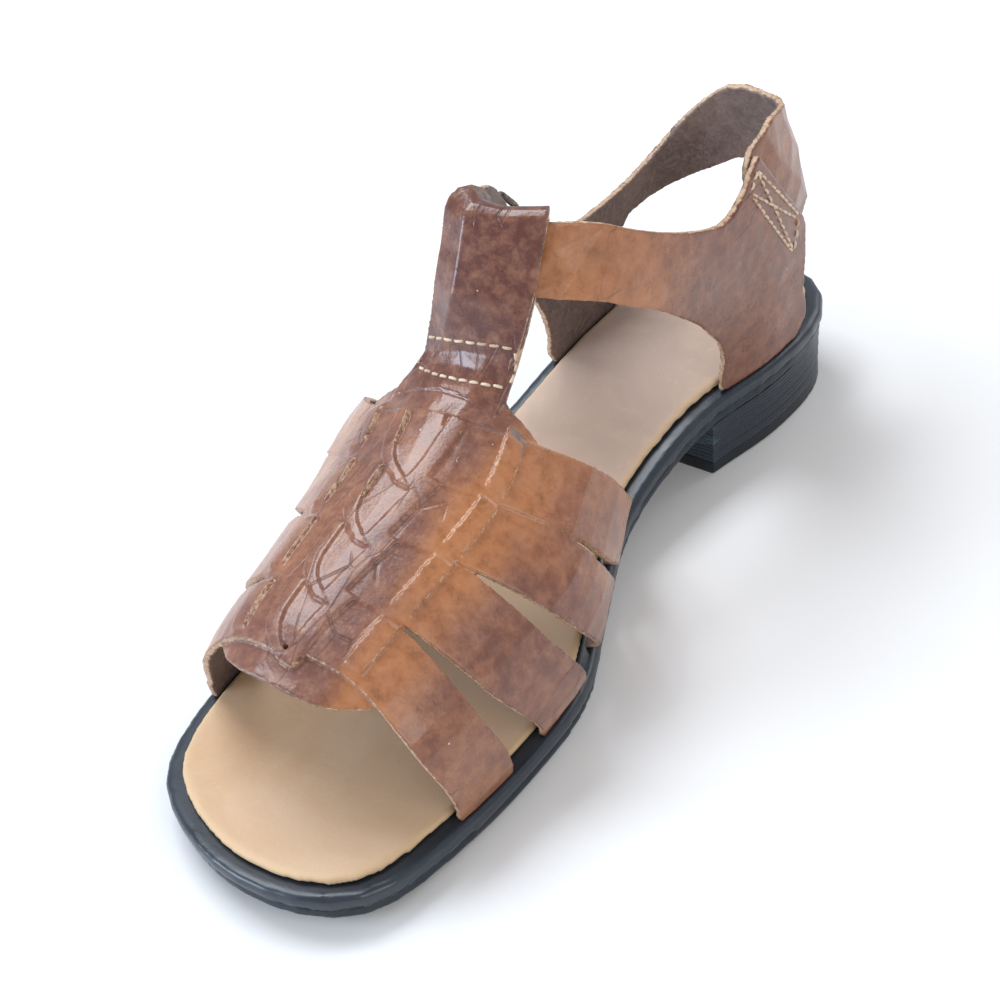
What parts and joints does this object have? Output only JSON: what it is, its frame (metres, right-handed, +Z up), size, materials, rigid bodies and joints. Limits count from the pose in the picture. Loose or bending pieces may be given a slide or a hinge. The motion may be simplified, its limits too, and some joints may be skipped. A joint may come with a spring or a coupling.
{
  "type": "strappy sandal",
  "caption": "Flat leather T-strap sandal for the right foot with an open toe, a woven front, an ankle strap with a buckle and a low block heel",
  "frame": {"origin": "middle of the bounding box at the floor, under the waist of the sole", "axes": "+Z up, +Y from the toe to the heel, +X to the inner side of the foot"},
  "size_m": [0.0979, 0.2581, 0.1213],
  "materials": {
    "outsole": "satin moulded",
    "midsole": "polished",
    "insole": "matte, worn",
    "heel_block": "satin, stacked lifts",
    "heel_top_piece": "matte",
    "vamp": "waxed, semi gloss",
    "quarter_inner": "waxed, semi gloss",
    "quarter_outer": "waxed, semi gloss",
    "buckle_frame": "antique, dark",
    "buckle_prong": "antique, dark"
  },
  "bodies": {
    "root": {"outsole": "outsole", "midsole": "midsole", "insole": "insole", "heel_block": "heel_block", "heel_top_piece": "heel_top_piece", "vamp": "vamp", "quarter_inner": "quarter_inner", "quarter_outer": "quarter_outer", "buckle_frame": "buckle_frame", "buckle_prong": "buckle_prong"}
  },
  "joints": []
}
